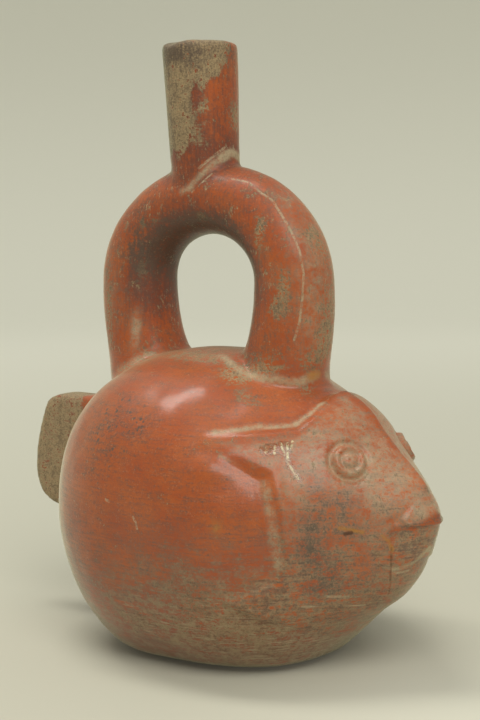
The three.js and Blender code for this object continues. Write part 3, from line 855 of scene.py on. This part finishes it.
class Graph:
    """Builds a material's nodes from short calls."""

    def __init__(self, name):
        self.material = bpy.data.materials.new(name)
        self.material.use_nodes = True
        self.tree = self.material.node_tree
        self.shader = self.tree.nodes["Principled BSDF"]
        scaled = {0: self.node("ShaderNodeTexCoord").outputs["Object"], "Scale": 1 / MM}
        self.where = self.node("ShaderNodeVectorMath", scaled, operation="SCALE").outputs[0]
        self.height = self.node("ShaderNodeSeparateXYZ", {0: self.where}).outputs[2]

    def node(self, kind, inputs=(), **settings):
        node = self.tree.nodes.new(kind)
        for name, value in settings.items():
            setattr(node, name, value)
        for key, value in dict(inputs).items():
            self.feed(node.inputs[key], value)
        return node

    def feed(self, socket, value):
        if isinstance(value, bpy.types.NodeSocket):
            self.tree.links.new(value, socket)
        else:
            socket.default_value = value

    def surface(self, values):
        for name, value in values.items():
            self.feed(self.shader.inputs[name], value)
        return self.material

    def math(self, operation, a, b=0.0, clamp=False):
        node = self.node("ShaderNodeMath", {0: a, 1: b}, operation=operation, use_clamp=clamp)
        return node.outputs[0]

    def vector(self, operation, a, b=(0, 0, 0)):
        node = self.node("ShaderNodeVectorMath", {0: a, 1: b}, operation=operation)
        number = operation in ("DOT_PRODUCT", "DISTANCE", "LENGTH")
        return node.outputs["Value" if number else "Vector"]

    def add(self, *values):
        total = values[0]
        for value in values[1:]:
            total = self.math("ADD", total, value)
        return total

    def times(self, a, b):
        return self.math("MULTIPLY", a, b)

    def most(self, a, b):
        return self.math("MAXIMUM", a, b)

    def total(self, *parts):
        """The sum of values, each times its share."""
        return self.add(*(self.times(value, share) for value, share in parts))

    def broken(self, amount, pattern):
        """An amount broken up by a pattern."""
        return self.times(amount, self.add(pattern, 1.0))

    def step(self, value, low, high, top=1.0):
        node = self.node("ShaderNodeMapRange", {0: value, 1: low, 2: high, 3: 0.0, 4: top},
                         interpolation_type="SMOOTHSTEP")
        return node.outputs[0]

    def mix(self, amount, a, b):
        """A colour between two colours."""
        return self.node("ShaderNodeMix", {0: amount, 6: a, 7: b}, data_type="RGBA").outputs[2]

    def blend(self, amount, a, b):
        """A number between two numbers."""
        return self.node("ShaderNodeMix", {0: amount, 2: a, 3: b}, data_type="FLOAT").outputs[0]

    def noise(self, sizes, detail=3.0, roughness=0.55, shift=0.0):
        """Noise between about -1 and 1, with grains of the given sizes along x, y and z."""
        stretched = self.node("ShaderNodeMapping", {
            "Vector": self.where, "Location": (shift, shift * 0.7, shift * 1.3),
            "Scale": tuple(1 / size for size in sizes)})
        node = self.node("ShaderNodeTexNoise", {
            "Vector": stretched.outputs[0], "Scale": 1.0, "Detail": detail,
            "Roughness": roughness})
        return self.times(self.math("SUBTRACT", node.outputs[0], 0.5), 3.2)

    def dots(self, size, reach, chance, shift=0.0):
        """Small round dots, one cell in a few filled."""
        stretched = self.node("ShaderNodeMapping", {
            "Vector": self.where, "Location": (shift,) * 3, "Scale": (1 / size,) * 3})
        node = self.node("ShaderNodeTexVoronoi", {"Vector": stretched.outputs[0], "Scale": 1.0})
        parts = self.node("ShaderNodeSeparateColor", {0: node.outputs["Color"]})
        filled = self.math("GREATER_THAN", parts.outputs[0], 1 - chance)
        radius = self.times(parts.outputs[1], reach)
        return self.times(filled, self.math("LESS_THAN", node.outputs["Distance"], radius))

    def lines(self, paths, width):
        """1 on thin lines through points, 0 off them."""
        nearest = 1000.0
        for a, b in (edge for path in paths for edge in zip(path[:-1], path[1:])):
            edge = Vector(b) - Vector(a)
            offset = self.vector("SUBTRACT", self.where, a)
            share = self.vector("DOT_PRODUCT", offset, edge / edge.dot(edge))
            along = {0: edge, "Scale": self.math("ADD", share, 0.0, clamp=True)}
            along = self.node("ShaderNodeVectorMath", along, operation="SCALE").outputs[0]
            nearest = self.math("MINIMUM", nearest, self.vector("DISTANCE", offset, along))
        return self.step(nearest, width, width * 0.4)


class Clay(Graph):
    """The clay's material, with the marks from the corners and its own noises."""

    def __init__(self):
        super().__init__("slipped_clay")
        for names in LAYERS:
            node = self.node("ShaderNodeAttribute", attribute_name="_".join(names))
            parts = self.node("ShaderNodeSeparateColor", {0: node.outputs["Color"]})
            for name, mark in zip(names, [*parts.outputs, node.outputs["Alpha"]]):
                setattr(self, name, mark)
        self.cloud = self.noise((14, 14, 11))
        self.blotch = self.noise((5, 5, 4), 4.0, 0.6, 3.1)
        self.mottle = self.noise((1.9, 1.9, 1.6), 4.0, 0.65, 7.7)
        self.grain = self.noise((0.55, 0.55, 0.5), 3.0, 0.6, 1.3)
        self.other = self.noise((2.6, 2.6, 2.2), 4.0, 0.7, 12.9)
        self.fine = self.noise((0.9, 0.9, 0.8), 3.0, 0.65, 15.1)
        self.strokes = self.noise((9, 9, 0.8), 4.0, 0.6, 5.2)
        self.brushed = self.noise((0.9, 0.9, 7), 3.0, 0.6, 9.4)
        self.upper = self.step(self.height, 92.0, 98.0)
        self.drawn = self.blend(self.upper, self.strokes, self.brushed)


# Colours of the clay and of what lies on it
SLIP_RED = (0.38, 0.08, 0.024, 1)
SLIP_ORANGE = (0.45, 0.115, 0.03, 1)
# This colour also paints the shade inside the stirrup's loop.
SLIP_DEEP_AND_SHADE = (0.17, 0.058, 0.038, 1)
# The veil colour also paints the highlight on the far leg.
VEIL = (0.50, 0.37, 0.245, 1)
BUFF = (0.46, 0.36, 0.2, 1)
GREY_BUFF = (0.21, 0.16, 0.095, 1)
BROWN = (0.36, 0.255, 0.145, 1)
# This dark colour also paints the shade under the stirrup's arch and on its inner side.
SOOT_AND_SHADE = (0.11, 0.08, 0.062, 1)
DUST = (0.48, 0.385, 0.25, 1)
OCHRE = (0.43, 0.19, 0.04, 1)
# Colour of the painted highlights on the varnish.
PAINTED_GLINT = (0.9, 0.82, 0.5, 1)
CRACK_DARK = (0.1, 0.04, 0.02, 1)


def slip_colour(g):
    """Red and orange slip with dark strokes and the painted shade inside the stirrup's loop, and
    where it is so thin that it looks veiled, with a painted highlight on the far leg.
    """
    slip = g.mix(g.step(g.total((g.cloud, 1), (g.other, 0.4)), -0.9, 0.9), SLIP_RED, SLIP_ORANGE)
    stroke_share = g.blend(g.upper, g.add(g.step(g.height, 70.0, 25.0, 0.2), 0.38), 0.45)
    dark = g.total((g.blotch, 0.4), (g.drawn, stroke_share), (g.other, 0.4), (g.fine, 0.3))
    # The darker slip tone, which also carries the painted shade inside the stirrup's loop.
    slip = g.mix(g.step(g.add(dark, g.deep), -0.2, 1.1, 0.95), slip, SLIP_DEEP_AND_SHADE)
    hazy = g.total((g.blotch, 0.6), (g.other, 0.6), (g.fine, 0.5), (g.grain, 0.4),
                   (g.drawn, 0.25))
    veiled = g.step(g.broken(g.thin, hazy), 0.05, 1.05)
    return g.mix(veiled, slip, VEIL), veiled


def add_wear(g, colour):
    """Buff clay where the slip is gone, in ragged patches and small flecks."""
    ragged = g.total((g.blotch, 0.3), (g.mottle, 0.7), (g.drawn, 0.5), (g.fine, 0.8),
                     (g.grain, 0.6))
    worn = g.step(g.broken(g.wear, ragged), 0.32, 0.62)
    fleck = g.noise((0.8, 0.8, 1.6), 4.0, 0.7, 21.3)
    fleck = g.total((fleck, 1), (g.flecks, 0.6), (g.blotch, 0.8))
    worn = g.most(worn, g.step(fleck, 0.72, 1.0, 0.85))
    greyer = g.total((g.blotch, 0.7), (g.mottle, 1), (g.grain, 0.8), (g.brushed, 0.5))
    clay = g.mix(g.step(greyer, -0.7, 1.0), BUFF, GREY_BUFF)
    scored = g.step(g.noise((0.75, 0.75, 2.2), 3.0, 0.65, 50.3), 0.25, 0.9, 0.75)
    clay = g.mix(g.times(scored, g.upper), clay, SOOT_AND_SHADE)
    return g.mix(g.times(worn, 0.85), colour, clay), worn


def add_browning(g, colour):
    """Brown and dark stains with pale burnishing lines, mostly low on the body."""
    streaky = g.total((g.strokes, 1.1), (g.other, 1), (g.fine, 0.9), (g.blotch, 0.8),
                      (g.cloud, 0.35))
    browned = g.step(g.broken(g.brown, streaky), 0.15, 0.85, 0.85)
    stained = g.total((g.mottle, 1), (g.cloud, 0.5), (g.strokes, 0.5))
    stained = g.mix(g.step(stained, -0.3, 0.8, 0.8), BROWN, SLIP_DEEP_AND_SHADE)
    colour = g.mix(browned, colour, stained)
    lines = g.add(g.noise((7, 7, 0.45), 2.0, 0.5, 30.2), g.brown)
    shown = g.step(g.brown, 0.2, 0.6, g.math("SUBTRACT", 1.0, g.matte))
    return g.mix(g.times(g.step(lines, 0.85, 1.3, 0.6), shown), colour, DUST)


def add_dirt(g, colour):
    """Sooty patches with painted shade inside the stirrup's loop, dust in the grooves, small
    nicks, dark pores, a pale bloom and dark dots.
    """
    patchy = g.total((g.other, 0.6), (g.fine, 0.6), (g.drawn, 0.35), (g.grain, 0.5))
    # Soot together with the painted shade inside the stirrup's loop.
    colour = g.mix(g.step(g.broken(g.soot, patchy), 0.12, 1.0, 0.85), colour, SOOT_AND_SHADE)
    dusty = g.broken(g.dust, g.total((g.other, 0.6), (g.fine, 0.4)))
    dusty = g.step(dusty, 0.1, 0.95, 0.9)
    nicks = g.step(g.noise((1.7, 1.7, 0.9), 2.0, 0.5, 40.6), 1.08, 1.25, 0.6)
    colour = g.mix(nicks, g.mix(dusty, colour, DUST), DUST)
    pores = g.total((g.fine, 0.7), (g.grain, 0.7), (g.drawn, 0.4))
    colour = g.mix(g.step(pores, -0.3, 1.0, 0.45), colour, SOOT_AND_SHADE)
    bloom = g.total((g.mottle, 0.6), (g.grain, -0.8), (g.strokes, 0.4))
    colour = g.mix(g.step(bloom, 0.1, 1.2, 0.28), colour, VEIL)
    dots = g.times(g.dots(1.5, 0.42, 0.6, 4.4), g.step(g.specks, 0.2, 0.6))
    dots = g.most(dots, g.times(g.dots(2.6, 0.15, 0.3, 8.1), 0.6))
    return g.mix(g.times(dots, 0.85), colour, SOOT_AND_SHADE), dusty


def add_single_marks(g, colour):
    """Painted highlights as glints on the varnish, then scratches, ochre stains, the crack and
    the pit.
    """
    painted_glints = g.step(g.add(g.mottle, g.fine, g.grain), -0.9, 0.9, 0.8)
    colour = g.mix(g.times(g.lines(PAINTED_GLINTS, 0.5), painted_glints), colour, PAINTED_GLINT)
    scratch = g.lines([UPPER_SEAM, LOWER_SEAM, *SCRATCHES], 0.6)
    scratch = g.most(g.lines([LEG_SCRATCH], 0.55), scratch)
    scratch = g.times(scratch, g.step(g.add(g.mottle, g.grain), -0.9, 0.6))
    colour = g.mix(g.times(scratch, 0.75), colour, DUST)
    ochre = g.broken(g.ochre, g.total((g.mottle, 0.5), (g.fine, 0.4)))
    colour = g.mix(g.step(ochre, 0.15, 0.8, 0.8), colour, OCHRE)
    split = g.step(g.add(g.mottle, g.other), -0.8, 0.4, 0.65)
    split = g.times(g.lines([CRACK], 0.5), split)
    split = g.most(split, g.times(g.lines([PIT_SLIT], 0.8), 0.85))
    return g.mix(split, colour, CRACK_DARK), scratch


def clay_material():
    """Burnished red slip, worn through to buff clay, with sooty patches, dust and old varnish,
    painted shade inside the stirrup's loop and painted glints on the varnish.
    """
    g = Clay()
    colour, veiled = slip_colour(g)
    colour, worn = add_wear(g, colour)
    colour, dusty = add_dirt(g, add_browning(g, colour))
    colour, scratch = add_single_marks(g, colour)
    rough = g.add(0.4, g.total((g.drawn, 0.05), (g.grain, 0.03), (g.matte, 0.08)))
    rough = g.blend(dusty, g.blend(worn, rough, 0.62), 0.72)
    shine = g.step(g.total((g.gloss, 1), (g.mottle, 0.2)), 0.3, 0.6)
    cover = g.times(g.most(g.matte, veiled), 0.7)
    dull = g.most(g.most(worn, dusty), cover)
    polish = g.times(g.math("SUBTRACT", 1.0, dull), 0.5)
    coat_rough = g.add(0.21, g.times(g.drawn, 0.04))
    relief = g.total((g.drawn, 0.025), (g.grain, 0.016), (g.fine, 0.02), (worn, -0.07),
                     (g.times(worn, g.grain), 0.04), (scratch, -0.1),
                     (g.times(shine, g.add(g.mottle, g.fine)), 0.35))
    bump = g.node("ShaderNodeBump", {"Strength": 1.0, "Distance": MM, "Height": relief})
    return g.surface({
        "Base Color": colour, "Roughness": g.blend(shine, rough, 0.2),
        "Coat Weight": g.most(polish, g.times(shine, 0.6)),
        "Coat Roughness": g.blend(shine, coat_rough, 0.07), "Normal": bump.outputs[0],
        "Specular IOR Level": 0.2, "Sheen Weight": 0.5, "Sheen Roughness": 0.28,
        "Sheen Tint": (0.9, 1, 0.72, 1)})


# Stage: a round sweep of pale paper
PAPER = (0.54, 0.535, 0.447, 1)
PAPER_GLOW = (1, 0.99, 0.84, 1)
SWEEP_FLAT = 1500
SWEEP_BEND = 900
SWEEP_WALL = 500
SWEEP_SIDES = 96
SWEEP_STEPS = 12
FILL_PLACE = (108, -18, 0)


def paper_material():
    """Paper that glows a little more far behind the vessel, and under its snout."""
    g = Graph("paper")
    azimuth = math.radians(CAMERA_AZIMUTH)
    away = g.vector("LENGTH", g.vector("MULTIPLY", g.where, (1, 1, 0)))
    behind = g.vector("DOT_PRODUCT", g.where, (-math.sin(azimuth), math.cos(azimuth), 0))
    far = g.step(away, 0.0, 1200.0)
    high = g.step(g.height, 0.0, 600.0)
    glow = g.add(0.03, g.total((far, 0.285), (high, -0.11)))
    glow = g.times(glow, g.add(0.25, g.step(behind, -900.0, 500.0, 0.75)))
    fill = g.step(g.vector("DISTANCE", g.where, FILL_PLACE), 100.0, 0.0, 0.1)
    return g.surface({
        "Base Color": PAPER, "Roughness": 0.9, "Specular IOR Level": 0.1,
        "Emission Color": PAPER_GLOW, "Emission Strength": g.add(glow, fill)})


def make_stage():
    """A round floor that bends up into a wall all the way round."""
    turns = [math.pi / 2 * i / SWEEP_STEPS for i in range(1, SWEEP_STEPS + 1)]
    rings = [(SWEEP_FLAT + SWEEP_BEND * math.sin(turn), SWEEP_BEND * (1 - math.cos(turn)))
             for turn in turns]
    rings.append((SWEEP_FLAT + SWEEP_BEND, SWEEP_BEND + SWEEP_WALL))
    sweep = disc("paper_sweep", SWEEP_SIDES, SWEEP_FLAT)
    edit()
    bpy.ops.mesh.delete(type="ONLY_FACE")
    bpy.ops.mesh.select_all(action="SELECT")
    radius, height = SWEEP_FLAT, 0
    for next_radius, next_height in rings:
        bpy.ops.mesh.extrude_edges_move(
            TRANSFORM_OT_translate={"value": (0, 0, (next_height - height) * MM)})
        grow = next_radius / radius
        bpy.ops.transform.resize(value=(grow, grow, 1), center_override=(0, 0, next_height * MM))
        radius, height = next_radius, next_height
    bpy.ops.mesh.select_all(action="SELECT")
    bpy.ops.mesh.normals_make_consistent(inside=True)
    edit_done()
    bpy.ops.object.shade_smooth()
    floor = disc("paper_floor", SWEEP_SIDES, SWEEP_FLAT)
    paper = paper_material()
    for piece in (sweep, floor):
        piece.data.materials.clear()
        piece.data.materials.append(paper)


def soft_box(name, place, aim, size, power, colour):
    """A rectangular light whose long side runs across the picture."""
    bpy.ops.object.light_add(type="AREA")
    lamp = bpy.context.object
    lamp.name = name
    lamp.data.shape = "RECTANGLE"
    lamp.data.size, lamp.data.size_y = (span * MM for span in size)
    lamp.data.energy = power
    lamp.data.color = colour
    across = math.radians(LIGHT_TURN)
    back = (Vector(place) - Vector(aim)).normalized()
    side = Vector((math.cos(across), math.sin(across), 0))
    side = (side - back * side.dot(back)).normalized()
    set_up(lamp, place, side, back.cross(side), back)


def make_lights():
    """A box overhead, a large one in front at the right, and soft light all round."""
    warm = (1, 0.97, 0.9)
    soft_box("overhead_box", (-300, -100, 1000), (0, 0, 60), (700, 200), 4.8, warm)
    soft_box("front_box", (640, -550, 880), (0, 0, 80), (700, 600), 6.9, warm)
    world = bpy.data.worlds.new("studio")
    bpy.context.scene.world = world
    world.use_nodes = True
    background = world.node_tree.nodes["Background"]
    background.inputs["Color"].default_value = (0.95, 0.95, 0.88, 1)
    background.inputs["Strength"].default_value = 0.42


make_camera()
vessel = make_vessel()
vessel.data.materials.clear()
vessel.data.materials.append(clay_material())
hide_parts("vessel")
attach(vessel, "root")
make_stage()
make_lights()
bpy.context.scene.view_settings.view_transform = "Standard"
